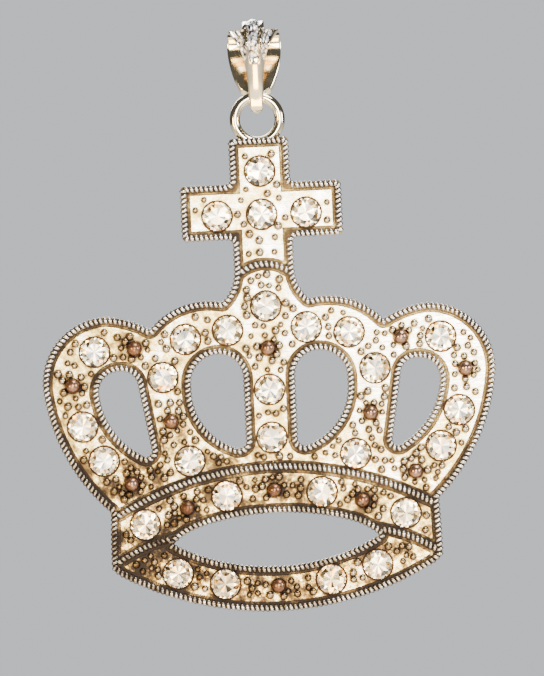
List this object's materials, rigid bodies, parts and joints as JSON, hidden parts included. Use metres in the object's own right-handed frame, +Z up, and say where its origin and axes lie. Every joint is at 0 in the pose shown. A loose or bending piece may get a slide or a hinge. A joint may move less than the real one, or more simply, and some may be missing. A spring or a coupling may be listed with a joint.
{
  "type": "crown pendant",
  "caption": "Flat openwork crown pendant with a cross, twisted borders and round cut stones, hung by a ring from a swinging bail.",
  "frame": {"origin": "middle of the bail's eye, where the chain runs", "axes": "+Z up towards the bail's top as the pendant hangs, +X across along the chain, decorated front faces -Y"},
  "size_m": [0.0578, 0.0068, 0.0759],
  "materials": {
    "cast_metal": "cast zinc alloy, silver plated, with brown antique patina in the recesses",
    "bright_ring": "polished plated wire",
    "bright_bail": "polished plated casting",
    "cut_stone": "clear cut glass with a foiled back"
  },
  "bodies": {
    "bail": {"bail": "bright_bail"},
    "ring": {"hanging_ring": "bright_ring"},
    "crown": {"crown_casting": "cast_metal", "stone_cross_top": "cut_stone", "stone_cross_middle": "cut_stone", "stone_dome": "cut_stone", "stone_column_upper": "cut_stone", "stone_column_lower": "cut_stone", "stone_cross_arm_left": "cut_stone", "stone_cross_arm_right": "cut_stone", "stone_arch_inner_left": "cut_stone", "stone_arch_inner_right": "cut_stone", "stone_arch_outer_left": "cut_stone", "stone_arch_outer_right": "cut_stone", "stone_arch_foot_left": "cut_stone", "stone_arch_foot_right": "cut_stone", "stone_arch_low_left": "cut_stone", "stone_arch_low_right": "cut_stone", "stone_lobe_top_left": "cut_stone", "stone_lobe_top_right": "cut_stone", "stone_lobe_side_left": "cut_stone", "stone_lobe_side_right": "cut_stone", "stone_lobe_low_left": "cut_stone", "stone_lobe_low_right": "cut_stone", "stone_band_inner_left": "cut_stone", "stone_band_inner_right": "cut_stone", "stone_band_outer_left": "cut_stone", "stone_band_outer_right": "cut_stone", "stone_base_inner_left": "cut_stone", "stone_base_inner_right": "cut_stone", "stone_base_outer_left": "cut_stone", "stone_base_outer_right": "cut_stone"}
  },
  "joints": [
    {"name": "ring_swing", "type": "hinge", "parent": "bail", "child": "ring", "pos_m": [0, 0, -0.00665], "axis": [1, 0, 0], "range_deg": [-130, 50]},
    {"name": "ring_slip", "type": "hinge", "parent": "ring", "child": "crown", "pos_m": [0, 0, -0.00953], "axis": [0, 1, 0], "range_deg": [-75, 75]}
  ]
}
